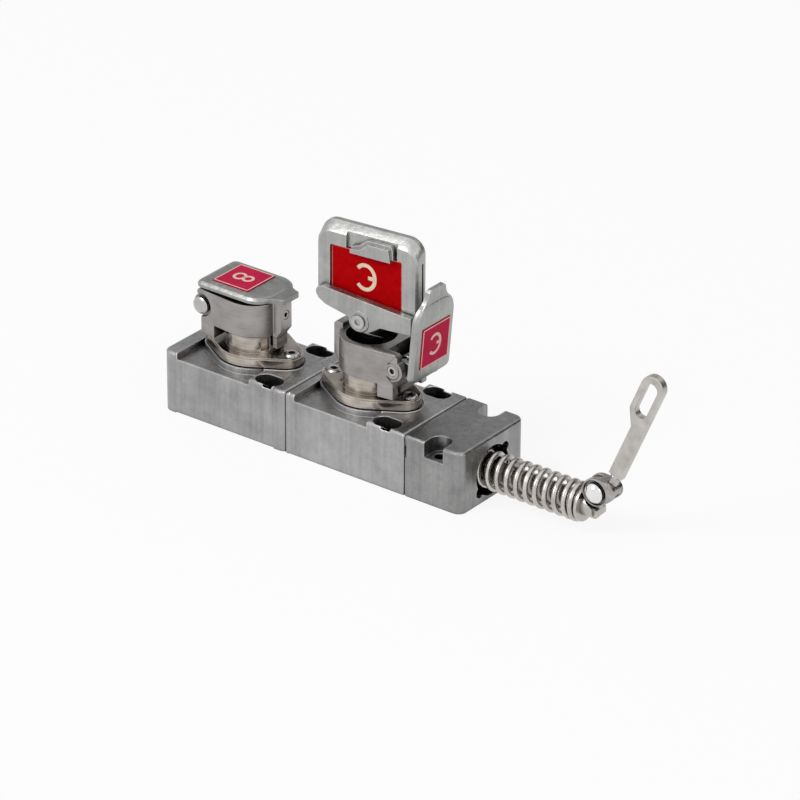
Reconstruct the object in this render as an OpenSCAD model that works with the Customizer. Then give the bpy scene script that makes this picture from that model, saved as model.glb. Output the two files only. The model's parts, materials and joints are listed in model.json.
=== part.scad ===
// Safety interlock switch with two trapped-key locks and a sprung actuator.
// The origin is the centre of the base, X runs along the housing, Z is up.

/* [Housing] */
// Length of the row of three modules
body_l = 139; // [138:0.5:141]
// Width over the end collars
body_w = 40; // [40:0.5:42]
// Height of the housing rim
body_h = 24.9; // [24.5:0.1:26]
// Depth of the deck below the rim
deck_drop = 2.5; // [2:0.1:3]
// How far the end collars stand proud of the long faces
collar_proud = 0.6; // [0.3:0.1:0.8]
// Radius of the upright corners
corner_r = 4; // [3:0.5:5]
// Length of the end module
end_l = 25.8; // [25:0.1:26.5]
// Thickness of the base plate
plate_t = 2.5; // [2:0.5:3]

/* [Locks] */
// Distance between the two lock axes
lock_pitch = 55; // [54:0.5:56]
// Place of the right lock axis along the housing
lock_right_x = 14; // [13.5:0.5:14.5]
// Outer radius of the lock head
head_r = 12; // [11.8:0.1:12.2]
// Height of the top of the lock head
head_top = 49.5; // [49:0.1:50]
// Outer radius of the flange's spigot
spigot_r = 10.8; // [10.5:0.1:11]
// Half distance between the two flange screws
flange_screw_x = 17.5; // [17:0.1:18]

/* [Covers] */
// Distance from the lock axis to the cover hinge
hinge_x = 17.1; // [16.9:0.1:17.2]
// Height of the cover hinge
hinge_z = 43; // [42.8:0.1:43.2]
// Gap from the hinge axis to the inside of the cover
cover_inner = 8; // [7.9:0.1:8.1]
// Thickness of the cover plate
cover_t = 2.6; // [2.5:0.1:2.8]
// Half width of the cover plate
cover_hw = 11.7; // [11.4:0.1:12]
// How far the right cover stands open
open_angle = 95; // [90:1:96]

/* [Key] */
// Width of the key tag
tag_w = 42.5; // [42:0.1:43]
// Height of the key tag
tag_h = 34.2; // [34:0.2:35]
// Thickness of the key tag
tag_t = 6.6; // [6:0.2:7]
// Height of the tag's lower edge
tag_z = 57; // [56.5:0.1:58]
// How far the key has turned in its lock
key_turn = 6; // [0:1:8]
// Radius of the key's shank
shank_r = 4; // [3.5:0.5:4]

/* [Actuator] */
// Height of the rod above the base
rod_z = 11; // [10.5:0.1:11.5]
// Radius of the pull rod
rod_r = 4; // [3.5:0.1:4]
// Outer radius of the rod spring
spring_r = 7.5; // [7:0.1:7.6]
// Wire thickness of the rod spring
wire_d = 2.2; // [2:0.1:2.4]
// Turns of the rod spring
spring_turns = 12; // [11:1:13]
// Lean of the tongue from upright
tongue_lean = 23; // [20:1:26]
// Length of the tongue
tongue_l = 47; // [46:0.2:48]

/* [Hidden] */
$fn = 64;
fit = 0.05;

x_min = -body_l / 2;
x_max = body_l / 2;
lock_left_x = lock_right_x - lock_pitch;
seam_end_x = x_max - end_l;
seam_mid_x = seam_end_x - lock_pitch;
face_y = body_w / 2 - collar_proud;
deck_z = body_h - deck_drop;
deck_under_z = deck_z - 5;
collar_l = 6.5;

// Mounting pockets, measured from the lock axis of their module
pocket_x = 19;
pocket_y = 15;
pocket_l = 11.4;
pocket_w = 7.6;
pocket_floor = 6;
recess_end_x = 12.5;
pocket_notch = 1.2;
mount_hole_r = 2.25;
end_slot_x = 57;
end_slot_r = 4.2;
end_slot_floor = 18.7;
notch_z = [16.3, 20.4];
base_wall = 1.4;
base_gap = 0.2;
base_end_x = 53.5;
base_screw_y = 12.5;
base_screw_r = 1.5;
base_head_r = 2.6;
base_head_t = 1.6;
tie_y = 12;
tie_z = 7.5;
tie_r = 2;
tie_wall = 5;
dowel_y = 14.5;
dowel_z = 14.5;
dowel_r = 1.5;

// Flange, pedestal and spigot
pedestal_z = body_h + 0.1;
pedestal_grow = 0.6;
flange_bottom = pedestal_z + 0.4;
flange_top = 29.2;
flange_step = 0.6;
flange_mid_r = 14.4;
flange_tip_r = 7;
flange_tip_x = 14.5;
flange_screw_r = 1.75;
flange_head_r = 3;
flange_head_t = 1.6;
seam_groove = 0.6;

// Lock head
head_bottom = 36.3;
head_floor = 38;
head_bore_r = 9.5;
cheek_end_x = 21.7;
cheek_end_y = 9.9;
cheek_round_r = 4.3;
cheek_top_x = 19.4;
hinge_slot_hw = 7;
leg_near_x = 10.8;
leg_far_x = 17.5;
leg_bottom = 31.2;
lug_x = 15;
lug_hw = 3.3;
lug_top = 51.4;
lug_low = 38.6;
lug_leg_x = 13;
lug_leg_low = 31;
lug_pin_z = 44.5;
lug_pin_r = 1.6;
hinge_pin_r = 2;
pin_head_r = 3.4;
pin_spot_r = 4.6;
pin_spot_y = 9.4;
pin_end_y = 10.6;

// Covers
cover_hinge_edge = 2;
cover_corner_r = 8;
cover_front_x = -13;
arm_r = 3.4;
arm_hw = 6.7;
arm_w = 2;
tab_tip_x = -17.8;
tab_root_x = -11;
tab_tip_hw = 4.9;
tab_t = 1.9;
label_w = 16.4;
label_near = 4;
label_t = 0.8;

// Key tag
tag_mid_x = -0.25;
tag_mid_z = tag_z + tag_h / 2;
tag_front_drop = 2.6;
tag_label_w = 30.6;
tag_label_h = 25;
tag_label_x = tag_mid_x - 0.4;
tag_label_z = 82.8 - tag_label_h / 2;
tag_recess = 1.6;
bay_x = [-9, 12.6];
bay_depth = 1.3;
key_pin_x = -1.6;
key_pin_z = 56.3;
bar_t = 3;
key_pin_r = 1.5;
key_shoulder = 52;
key_neck_r = 2.4;
key_neck_top = 57.4;

// Barrel, clip and slide
barrel_r = 8;
barrel_bottom = 14;
clip_z = 15.6;
clip_t = 1.2;
clip_r = 10;
clip_groove_r = 7;
key_bore_bottom = 24;
bit_x = 6.2;
bit_w = 2.4;
bit_low = 27;
bit_high = 36;
cam_r = 5;
cam_pin_r = 1.5;
cam_pin_low = 10;
slide_z = 9.5;
slide_t = 3;
slide_hw = 7.6;
slide_back = 13;
slide_nose = 16.5;
channel_hw = 9.5;
cavity_hw = 16.5;
cavity_start_x = -60;
guide_hw = 6;
guide_l = slide_back + slide_nose + 8;

// Actuator
hole_r = 9.7;
bush_seat_x = 60;
bush_in_x = 50;
bush_r = 6;
rod_in_x = 52;
spring_in_x = 60.8;
spring_out_x = 110;
washer_x = 111.2;
washer_r = 6.8;
pivot_x = 116.6;
pivot_z = 18.4;
fork_r = 5.5;
fork_gap = 1.4;
fork_hw = 3.2;
fork_clear_r = 6.1;
bolt_head_r = 3.9;
bolt_spot_r = 4.8;
bolt_reach = 1.6;
nut_t = 2.8;
eye_r = 4.7;
eye_hw = 1.2;
neck_x = 120.9;
neck_z = 19.9;
neck_r = 3.9;
neck_reach = norm([neck_x - pivot_x, neck_z - pivot_z]);
neck_angle = atan2(neck_z - pivot_z, neck_x - pivot_x);
tilt_max = 68;
tongue_x = 123.9;
tongue_z = 26.6;
tongue_hw = 2.8;
tongue_t = 3.2;
tongue_gap = 1.2;
eye_offset = 1.9;
eye_end_r = 4.7;
slot_offset = 1.8;
eye_slot_r = 2.5;
eye_slot_l = 10.6;
stub_r = 1.9;
stub_l = 6;

cast_grey = "#9a9896";
stainless = "#b9b2a6";
bright = "#d5d0c8";
dark = "#3a3a3c";
red = "#b01020";

// Bar with round ends along X, as a pocket or a slot
module stadium(length, width, height) {
    reach = (length - width) / 2;
    linear_extrude(height) {
        square([2 * reach, width], center = true);
        for (side = [-1, 1]) translate([side * reach, 0]) circle(d = width);
    }
}

// Rectangle with round corners, centred
module round_rect(size, r) {
    square([size.x - 2 * r, size.y], center = true);
    square([size.x, size.y - 2 * r], center = true);
    for (sx = [-1, 1], sy = [-1, 1])
        translate([sx * (size.x / 2 - r), sy * (size.y / 2 - r)]) circle(r);
}

// Plate with a big round end at the origin and a small one at a distance
module link_plate(big_r, small_r, distance, t) {
    lean = acos((big_r - small_r) / distance);
    touch = [cos(lean), sin(lean)];
    cylinder(r = big_r, h = t);
    translate([distance, 0, 0]) cylinder(r = small_r, h = t);
    linear_extrude(t) polygon([
        big_r * touch, [distance + small_r * touch.x, small_r * touch.y],
        [distance + small_r * touch.x, -small_r * touch.y], [big_r * touch.x, -big_r * touch.y]
    ]);
}

// Oval plate with the outline of a lock flange
module oval_plate(t, grow = 0) {
    for (a = [0, 180]) rotate(a) link_plate(flange_mid_r + grow, flange_tip_r + grow, flange_tip_x, t);
}

// Puts a piece on the left lock, which is turned half round, or the right one
module at_lock(side) {
    translate([side == "left" ? lock_left_x : lock_right_x, 0, 0])
        rotate(side == "left" ? 180 : 0) children();
}

// Puts a piece drawn on a closed cover where that side's cover stands
module at_cover(side) {
    at_lock(side) translate([hinge_x, 0, hinge_z])
        rotate([0, side == "left" ? 0 : open_angle, 0])
        translate([-hinge_x, 0, -hinge_z]) children();
}

// Puts a piece on the key, which has turned a little in the right lock
module at_key() {
    translate([lock_right_x, 0, 0]) rotate(key_turn) children();
}

// Puts a piece on the tongue's own line, which leans out from the knuckle
module at_tongue() {
    translate([tongue_x, 0, tongue_z]) rotate([0, tongue_lean, 0]) children();
}

// Block between two stations along X, with soft top edges and round corners
module soft_block(x0, x1, half_y, height, r0, r1) {
    edge = 1;
    hull() for (end = [[x0, 1, r0], [x1, -1, r1]], side = [-1, 1])
        translate([end[0] + end[1] * end[2], side * (half_y - end[2]), 0])
            rotate_extrude($fn = 32) polygon([
                [0, 0], [end[2], 0], [end[2], height - edge],
                [end[2] - 0.3 * edge, height - 0.3 * edge], [end[2] - edge, height], [0, height]
            ]);
}

// Outside of one key module: collars, long faces, deck recess and pedestal
module key_module_shell(x0, x1, lock_x, left_collar) {
    difference() {
        union() {
            soft_block(x0, x1, face_y, body_h, corner_r - 1, 1);
            if (left_collar) soft_block(x0, x0 + collar_l, body_w / 2, body_h, corner_r, 1.2);
            else soft_block(x0, x0 + 2.2, face_y + 0.2, body_h, 1, 1);
            if (left_collar) soft_block(x1 - collar_l, x1, body_w / 2, body_h, 2.2, 2.6);
        }
        translate([x0 + (left_collar ? collar_l : 4.2), -body_w, deck_z])
            cube([lock_x + recess_end_x - x0 - (left_collar ? collar_l : 4.2), 2 * body_w, body_h]);
    }
    translate([lock_x, 0, deck_z - 1]) oval_plate(pedestal_z - deck_z + 1, pedestal_grow);
}

// Room for the base plate, or the plate itself when it is made smaller
module base_shape(gap, height) {
    inset = base_wall + gap;
    length = base_end_x - gap - x_min - inset;
    translate([x_min + inset, inset - face_y, 0]) cube([length, 2 * (face_y - inset), height]);
}

// Places of the screws that hold the base plate
module base_screw_places() {
    places = [cavity_start_x - 4.5, lock_left_x + 11.5, lock_right_x + 11.5, base_end_x - 4];
    for (x = places, side = [-1, 1]) translate([x, side * base_screw_y, 0]) children();
}

module base_screw_shanks() {
    base_screw_places() translate([0, 0, base_head_t - 0.2]) cylinder(r = base_screw_r, h = 4);
}

// Hollows and holes of one key module
module key_module_cuts(cavity_x, x1, lock_x) {
    translate([0, 0, -1]) base_shape(0, plate_t + 1);
    base_screw_shanks();
    translate([cavity_x, -cavity_hw, plate_t - 1])
        cube([lock_x + 9 - cavity_x, 2 * cavity_hw, deck_under_z - plate_t + 1]);
    translate([lock_x, -channel_hw, plate_t - 1])
        cube([x1 - lock_x + 1, 2 * channel_hw, deck_under_z - plate_t + 1]);
    translate([lock_x, 0, 0]) cylinder(r = barrel_r + 1, h = 2 * body_h);
    for (side = [-1, 1]) translate([lock_x, side * pocket_y, 0]) {
        translate([pocket_x, 0, pocket_floor]) stadium(pocket_l, pocket_w, body_h);
        translate([pocket_x, 0, -1]) cylinder(r = mount_hole_r, h = body_h);
        translate([pocket_x, side > 0 ? 0 : -pocket_w, body_h - pocket_notch]) cube([4, pocket_w, 4]);
    }
    for (side = [-1, 1]) translate([lock_x + side * flange_screw_x, 0, deck_under_z - 1])
        cylinder(r = flange_screw_r, h = body_h);
}

// Shanks of the two screws that tie the key modules together
module tie_shanks() {
    for (side = [-1, 1]) translate([seam_mid_x - tie_wall, side * tie_y, tie_z])
        rotate([0, 90, 0]) cylinder(r = tie_r, h = 2 * tie_wall);
}

// Dowels across both seams
module dowels() {
    for (x = [seam_mid_x, seam_end_x], side = [-1, 1]) translate([x, side * dowel_y, dowel_z])
        rotate([0, 90, 0]) cylinder(r = dowel_r, h = 8, center = true);
}

module left_module() {
    color(cast_grey) difference() {
        key_module_shell(x_min, seam_mid_x, lock_left_x, true);
        key_module_cuts(cavity_start_x, seam_mid_x, lock_left_x);
        tie_shanks();
        dowels();
    }
}

module right_module() {
    color(cast_grey) difference() {
        key_module_shell(seam_mid_x, seam_end_x, lock_right_x, false);
        key_module_cuts(seam_mid_x + tie_wall, seam_end_x, lock_right_x);
        tie_shanks();
        dowels();
    }
}

module end_module() {
    slot_y = [-pocket_y - body_w, pocket_y];
    color(cast_grey) difference() {
        soft_block(seam_end_x, x_max, face_y, body_h, 1, corner_r - 0.5);
        translate([0, 0, -1]) base_shape(0, plate_t + 1);
        base_screw_shanks();
        translate([0, 0, rod_z]) rotate([0, 90, 0]) {
            translate([0, 0, bush_seat_x]) cylinder(r = hole_r, h = end_l);
            translate([0, 0, seam_end_x - 1]) cylinder(r = bush_r, h = end_l);
        }
        for (a = [40, 220]) translate([x_max - 4, 0, rod_z]) rotate([a, 0, 0])
            translate([0, hole_r, 0]) rotate([0, 90, 0]) cylinder(r = 2.2, h = 8);
        for (side = [-1, 1]) {
            translate([end_slot_x, side * pocket_y, end_slot_floor]) cylinder(r = end_slot_r, h = body_h);
            translate([end_slot_x - end_slot_r, slot_y[side > 0 ? 1 : 0], end_slot_floor])
                cube([2 * end_slot_r, body_w, body_h]);
            translate([end_slot_x, side * pocket_y, -1]) cylinder(r = mount_hole_r, h = body_h);
        }
        // Pry notch at the seam, low on the front face
        translate([seam_end_x - 1, -body_w, notch_z[0]])
            cube([1.8, body_w - face_y + 0.7, notch_z[1] - notch_z[0]]);
        dowels();
    }
}

module base_plate() {
    color(stainless) difference() {
        union() {
            base_shape(base_gap, plate_t);
            for (lock = [lock_left_x, lock_right_x], side = [-1, 1])
                translate([lock - slide_back, side * guide_hw - 1, 0]) cube([guide_l, 2, slide_z - 0.3]);
        }
        for (x = [lock_left_x, lock_right_x], side = [-1, 1])
            translate([x + pocket_x, side * pocket_y, -1]) cylinder(r = mount_hole_r, h = plate_t + 2);
        base_screw_places() translate([0, 0, -1]) {
            cylinder(r = base_screw_r, h = plate_t + 2);
            cylinder(r = base_head_r + 0.1, h = base_head_t + 1);
        }
    }
}

module base_screws() {
    color(bright) {
        base_screw_shanks();
        base_screw_places() difference() {
            translate([0, 0, 0.2]) cylinder(r = base_head_r, h = base_head_t - 0.2);
            translate([0, 0, -1]) cylinder(r = 1.2, h = 2, $fn = 6);
        }
    }
}

module tie_screws() {
    color(bright) {
        tie_shanks();
        for (side = [-1, 1]) translate([seam_mid_x + tie_wall, side * tie_y, tie_z])
            rotate([0, 90, 0]) difference() {
                cylinder(r = 3.5, h = 3);
                translate([0, 0, 1.5]) cylinder(r = 1.6, h = 3, $fn = 6);
            }
    }
}

module module_dowels() {
    color(bright) dowels();
}

module rod_bush() {
    color("#a8803a") translate([0, 0, rod_z]) rotate([0, 90, 0]) difference() {
        union() {
            translate([0, 0, bush_in_x]) cylinder(r = bush_r, h = bush_seat_x - bush_in_x);
            translate([0, 0, bush_seat_x]) cylinder(r = hole_r - 0.3, h = spring_in_x - bush_seat_x - 0.1);
        }
        translate([0, 0, bush_in_x - 1]) cylinder(r = rod_r + fit, h = end_l);
    }
}

module flange_seal(side) {
    color(dark) at_lock(side) difference() {
        translate([0, 0, pedestal_z]) oval_plate(flange_bottom - pedestal_z, -0.2);
        cylinder(r = barrel_r + 1, h = 2 * body_h);
        for (x = [-flange_screw_x, flange_screw_x]) translate([x, 0, 0])
            cylinder(r = flange_screw_r, h = 2 * body_h);
    }
}

// Oval flange turned with its spigot, which carries the head and the barrel
module flange(side) {
    color(stainless) at_lock(side) difference() {
        union() {
            translate([0, 0, flange_bottom]) oval_plate(flange_top - flange_bottom - flange_step);
            translate([0, 0, flange_top - flange_step]) oval_plate(flange_step, -0.5);
            translate([0, 0, flange_bottom]) cylinder(r = spigot_r, h = head_bottom - flange_bottom);
        }
        translate([0, 0, flange_bottom - 1]) cylinder(r = barrel_r + fit, h = body_h);
        for (x = [-flange_screw_x, flange_screw_x]) translate([x, 0, 0]) {
            cylinder(r = flange_screw_r, h = body_h * 2);
            translate([0, 0, flange_top - flange_head_t]) cylinder(r = flange_head_r + 0.2, h = 5);
        }
        // Relief groove under the head
        translate([0, 0, head_bottom - seam_groove]) difference() {
            cylinder(r = spigot_r + 1, h = seam_groove + 1);
            cylinder(r = spigot_r - seam_groove, h = seam_groove + 1);
        }
        // Two keyways in the spigot, where the head's keys drop in
        for (a = [150, 210]) rotate(a) translate([spigot_r, 0, flange_top + 2]) {
            translate([0, 0, 3]) cube([3, 3.4, 8], center = true);
        }
    }
}

module flange_screws(side) {
    color(bright) at_lock(side) for (x = [-flange_screw_x, flange_screw_x])
        translate([x, 0, 0]) difference() {
            union() {
                translate([0, 0, deck_under_z])
                    cylinder(r = flange_screw_r, h = flange_top - flange_head_t - deck_under_z);
                translate([0, 0, flange_top - flange_head_t])
                    cylinder(r = flange_head_r, h = flange_head_t - 0.1);
                translate([0, 0, flange_top - 0.1])
                    cylinder(r1 = flange_head_r, r2 = flange_head_r - 0.7, h = 0.7);
            }
            translate([0, 0, flange_top - 0.8]) cylinder(r = 1.5, h = 2, $fn = 6);
        }
}

// Plan of the head: a circle with sides that taper to the hinge end
module head_plan() {
    reach = norm([cheek_end_x, cheek_end_y]);
    a = atan2(cheek_end_y, cheek_end_x) + acos(head_r / reach);
    touch = head_r * [cos(a), sin(a)];
    circle(head_r);
    polygon([
        touch, [cheek_end_x, cheek_end_y],
        [cheek_end_x, -cheek_end_y], [touch.x, -touch.y]
    ]);
}

// Side profile of the head without its lug, drawn in X and Z
module head_profile() {
    translate([-head_r - 1, head_bottom])
        square([head_r + 2 + leg_near_x, head_top - head_bottom]);
    translate([hinge_x, hinge_z]) circle(cheek_round_r);
    polygon([
        [leg_near_x, head_top], [leg_near_x, leg_bottom], [leg_far_x, leg_bottom],
        [leg_far_x, hinge_z], [cheek_top_x, hinge_z + 1], [cheek_top_x, head_top - 1],
        [cheek_top_x - 1, head_top]
    ]);
}

module head(side) {
    color(stainless) at_lock(side) difference() {
        union() {
            intersection() {
                translate([0, 0, leg_bottom - 1]) linear_extrude(head_top - leg_bottom + 2) head_plan();
                rotate([90, 0, 0]) linear_extrude(40, center = true) head_profile();
            }
            // Lug with its chamfered foot
            rotate([90, 0, 0]) linear_extrude(2 * lug_hw, center = true) polygon([
                [-lug_x, lug_top - 1], [-lug_x, lug_low], [-lug_leg_x, lug_low - 2.6],
                [-lug_leg_x, lug_leg_low], [-spigot_r - 0.2, lug_leg_low],
                [-spigot_r - 0.2, head_top - 0.5], [-head_r + 1.2, head_top - 0.5],
                [-head_r + 1.2, lug_top], [1 - lug_x, lug_top]
            ]);
            // Boss round the small end of the hinge pin
            translate([hinge_x, 0, hinge_z]) rotate([90, 0, 0]) cylinder(r = 3.2, h = pin_end_y);
        }
        translate([0, 0, leg_bottom - 5]) cylinder(r = spigot_r + fit, h = head_bottom - leg_bottom + 5);
        translate([0, 0, head_bottom - 1]) cylinder(r = barrel_r + 0.3, h = 5);
        translate([0, 0, head_floor]) cylinder(r = head_bore_r, h = 20);
        translate([leg_near_x + 2, -hinge_slot_hw, leg_bottom - 1]) cube([20, 2 * hinge_slot_hw, 30]);
        translate([hinge_x, 20, hinge_z]) rotate([90, 0, 0]) {
            cylinder(r = hinge_pin_r, h = 40);
            cylinder(r = pin_spot_r, h = 20 - pin_spot_y);
        }
        translate([-lug_x - 1, 0, lug_pin_z]) rotate([0, 90, 0]) cylinder(r = lug_pin_r, h = 5.2);
    }
}

module lug_pin(side) {
    color(bright) at_lock(side) translate([-lug_x + 0.2, 0, lug_pin_z]) rotate([0, 90, 0]) difference() {
        cylinder(r = lug_pin_r, h = 4);
        translate([0, 0, -1]) cylinder(r = 0.9, h = 4);
    }
}

module hinge_pin(side) {
    color(bright) at_lock(side) translate([hinge_x, 0, hinge_z]) rotate([90, 0, 0]) {
        difference() {
            translate([0, 0, -pin_spot_y]) cylinder(r = hinge_pin_r, h = pin_spot_y + pin_end_y - 0.2);
            translate([0, 0, pin_end_y - 1.6]) cylinder(r = 1, h = 3);
        }
        translate([0, 0, -pin_spot_y - 1.7]) cylinder(r = pin_head_r, h = 1.7);
        translate([0, 0, -pin_spot_y - 2.3]) cylinder(r1 = pin_head_r - 0.9, r2 = pin_head_r, h = 0.6);
    }
}

// Points of one wire ring of a coil that runs along its own Z
function coil_ring(radius, wire, a, z, sides) = [
    for (k = [0:sides - 1]) let (b = 360 * k / sides, r = radius + wire / 2 * cos(b))
        [r * cos(a), r * sin(a), z + wire / 2 * sin(b)]
];

// Coil with a height rule: turn number in, height out
module coil(radius, wire, heights, steps, sides) {
    rings = len(heights);
    points = [for (i = [0:rings - 1]) each coil_ring(radius, wire, 360 * i / steps, heights[i], sides)];
    walls = [
        for (i = [0:rings - 2], k = [0:sides - 1]) let (n = (k + 1) % sides)
            [i * sides + k, i * sides + n, (i + 1) * sides + n, (i + 1) * sides + k]
    ];
    caps = [
        [for (k = [sides - 1:-1:0]) k],
        [for (k = [0:sides - 1]) (rings - 1) * sides + k]
    ];
    polyhedron(points, concat(walls, caps), convexity = 10);
}

module cover_spring(side) {
    steps = 16;
    turns = 4;
    pitch = 1.15;
    heights = [for (i = [0:turns * steps]) pitch * i / steps - turns * pitch / 2];
    color(bright) at_lock(side) translate([hinge_x, 0, hinge_z]) rotate([90, 0, 0])
        coil(hinge_pin_r + 0.75, 0.8, heights, steps, 6);
}

// Plan of the cover: straight sides, small corners at the hinge, big ones in front
module cover_plan() {
    far_x = hinge_x + cover_hinge_edge;
    for (end = [[far_x - 3, 3], [cover_front_x + cover_corner_r, cover_corner_r]]) {
        for (s = [-1, 1]) translate([end[0], s * (cover_hw - end[1])]) circle(end[1]);
        translate([end[0] - end[1], end[1] - cover_hw]) square(2 * [end[1], cover_hw - end[1]]);
    }
    translate([cover_front_x + cover_corner_r, -cover_hw])
        square([far_x - 3 - cover_front_x - cover_corner_r, 2 * cover_hw]);
}

// Half width of the lifting tab, which flares where it leaves the cover
function tab_hw(x) = let (t = (x - tab_tip_x) / (tab_root_x - tab_tip_x))
    tab_tip_hw + (cover_hw - 3.4 - tab_tip_hw) * pow(t, 2.2);

module tab_plan() {
    steps = 10;
    tip = [tab_tip_x, tab_tip_hw - 1];
    xs = [for (i = [0:steps]) tab_tip_x + 0.9 + (tab_root_x - tab_tip_x - 0.9) * i / steps];
    near = [for (x = xs) [x, -tab_hw(x)]];
    far = [for (i = [steps:-1:0]) [xs[i], tab_hw(xs[i])]];
    inside = [tab_root_x + 3, 5];
    polygon(concat([[tip.x, -tip.y]], near, [[inside.x, -inside.y], inside], far, [tip]));
}

module cover(side) {
    inner_z = hinge_z + cover_inner;
    color(cast_grey) at_cover(side) difference() {
        union() {
            translate([0, 0, inner_z]) hull() {
                linear_extrude(cover_t - 1.4) cover_plan();
                linear_extrude(cover_t - 0.5) offset(delta = -1) cover_plan();
                linear_extrude(cover_t) offset(delta = -2.8) cover_plan();
            }
            // Lifting tab
            translate([0, 0, inner_z]) linear_extrude(tab_t) tab_plan();
            // Two arms down to the hinge
            for (s = [-1, 1]) translate([hinge_x, s * (arm_hw - arm_w / 2), hinge_z]) {
                rotate([90, 0, 0]) cylinder(r = arm_r, h = arm_w, center = true);
                translate([-arm_r, -arm_w / 2, 0]) cube([2 * arm_r - 0.4, arm_w, cover_inner + 0.5]);
            }
        }
        translate([hinge_x, 0, hinge_z]) rotate([90, 0, 0])
            cylinder(r = hinge_pin_r + fit, h = 40, center = true);
        // Room for the top of the lug
        translate([-lug_x - 1, -lug_hw - 0.4, inner_z - 1])
            cube([lug_x + 3 - head_r, 2 * lug_hw + 0.8, 2]);
        // Seat of the label
        translate([hinge_x - label_near - label_w / 2, 0, inner_z + cover_t - label_t / 2])
            linear_extrude(1) square([label_w + 0.2, label_w + 0.2], center = true);
        // Hollow inside of the plate
        translate([0, 0, inner_z - 1]) cylinder(r = head_bore_r, h = 1.9);
    }
}

module cover_label(side) {
    color(red) at_cover(side)
        translate([hinge_x - label_near - label_w / 2, 0, hinge_z + cover_inner + cover_t - label_t / 2])
        linear_extrude(label_t) round_rect([label_w, label_w], 0.5);
}

// Key barrel with the slot for the key's bit and the cam pin below
module barrel(side) {
    turn = side == "left" ? 0 : key_turn;
    cam_angle = (side == "left" ? 315 : 135) - turn;
    color(stainless) at_lock(side) rotate(turn) difference() {
        union() {
            translate([0, 0, barrel_bottom]) cylinder(r = barrel_r, h = head_floor - barrel_bottom);
            rotate(cam_angle) translate([cam_r, 0, cam_pin_low])
                cylinder(r = cam_pin_r, h = barrel_bottom - cam_pin_low + 1);
        }
        translate([0, 0, clip_z]) difference() {
            cylinder(r = barrel_r + 1, h = clip_t);
            cylinder(r = clip_groove_r, h = clip_t);
        }
        translate([0, 0, key_bore_bottom]) cylinder(r = shank_r + fit, h = 20);
        translate([0, -bit_w / 2 - 0.3, key_bore_bottom]) cube([bit_x + 0.4, bit_w + 0.6, 20]);
    }
}

module barrel_clip(side) {
    color(bright) at_lock(side) translate([0, 0, clip_z]) linear_extrude(clip_t) difference() {
        circle(clip_r);
        circle(clip_groove_r);
        translate([0, -3]) square([clip_r + 1, 6]);
    }
}

// Slide that the cam pin moves along the housing
module lock_slide(side) {
    x = side == "left" ? lock_left_x : lock_right_x;
    slot_y = cam_r * cos(45);
    color(bright) translate([x, 0, slide_z]) difference() {
        linear_extrude(slide_t) translate([(slide_nose - slide_back) / 2, 0])
            round_rect([slide_back + slide_nose, 2 * slide_hw], 2);
        translate([-slot_y, (slot_y + cam_r) / 2, -1]) rotate(90)
            stadium(cam_r - slot_y + 2 * cam_pin_r + 1.4, 2 * cam_pin_r + 0.7, slide_t + 2);
        translate([8, 0, -1]) stadium(10, 5, slide_t + 2);
    }
}

// Key tag: a frame round the label, lower in front, with soft edges and a groove in its side
module key_tag() {
    layers = [[-1, 0.8, tag_front_drop], [-0.76, 0, tag_front_drop], [0.2, 0, 0], [0.82, 0, 0], [1, 0.9, 0]];
    color(cast_grey) at_key() difference() {
        union() {
            hull() for (layer = layers)
                translate([tag_mid_x, layer[0] * (tag_t / 2 - 0.01), tag_mid_z - layer[2] / 2])
                    rotate([90, 0, 0]) linear_extrude(0.02, center = true) offset(r = -layer[1], $fn = 32)
                        round_rect([tag_w, tag_h - layer[2]], 6);
            // Body below the tag, which takes the shank and the cross pin
            translate([-6, 0.4 - tag_t / 2, key_shoulder])
                cube([9.4, tag_t - 0.8, tag_z - key_shoulder + 2]);
        }
        // Seat of the label in front, and a shallow panel at the back
        for (face = [[-1, tag_recess], [1, 0.8]])
            translate([tag_label_x, face[0] * tag_t / 2, tag_label_z]) rotate([90, 0, 0])
                linear_extrude(2 * face[1], center = true) round_rect([tag_label_w, tag_label_h], 1);
        translate([bay_x[0], -tag_t, tag_label_z]) cube([bay_x[1] - bay_x[0], tag_t / 2 + bay_depth, tag_h]);
        translate([tag_mid_x + tag_w / 2 - 1.2, 0.3, tag_z + 5]) cube([3, 1, tag_h - 14]);
        cylinder(r = key_neck_r, h = key_neck_top);
        key_cross_hole();
    }
}

module key_cross_hole() {
    translate([key_pin_x, 0, key_pin_z]) rotate([90, 0, 0]) cylinder(r = key_pin_r, h = 20, center = true);
}

module key_label() {
    color(red) at_key() translate([tag_label_x, tag_recess - tag_t / 2, tag_label_z]) rotate([90, 0, 0])
        linear_extrude(0.8) round_rect([tag_label_w - 0.3, tag_label_h - 0.3], 0.9);
}

// Raised clip that holds the label's upper edge, with a long slope on its left
module key_label_clip() {
    low = tag_label_z + tag_label_h / 2 - 0.8;
    seat = tag_t / 2 - bay_depth;
    color(cast_grey) at_key() rotate([90, 0, 0]) {
        translate([0, 0, seat]) linear_extrude(bay_depth + 0.7) polygon([
            [-6.5, low + 0.9], [-6.5, low + 2.4], [-3.5, low + 3.2], [0.3, low + 6.2],
            [10.2, low + 6.2], [11.3, low + 4.6], [11.3, low + 0.9]
        ]);
        translate([0, 0, seat + 0.7]) linear_extrude(bay_depth + 1) polygon([
            [-6.5, low], [-6.5, low + 1.6], [-2.6, low + 2.2], [1.2, low + 5],
            [9.8, low + 5], [10.6, low]
        ]);
    }
}

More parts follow.
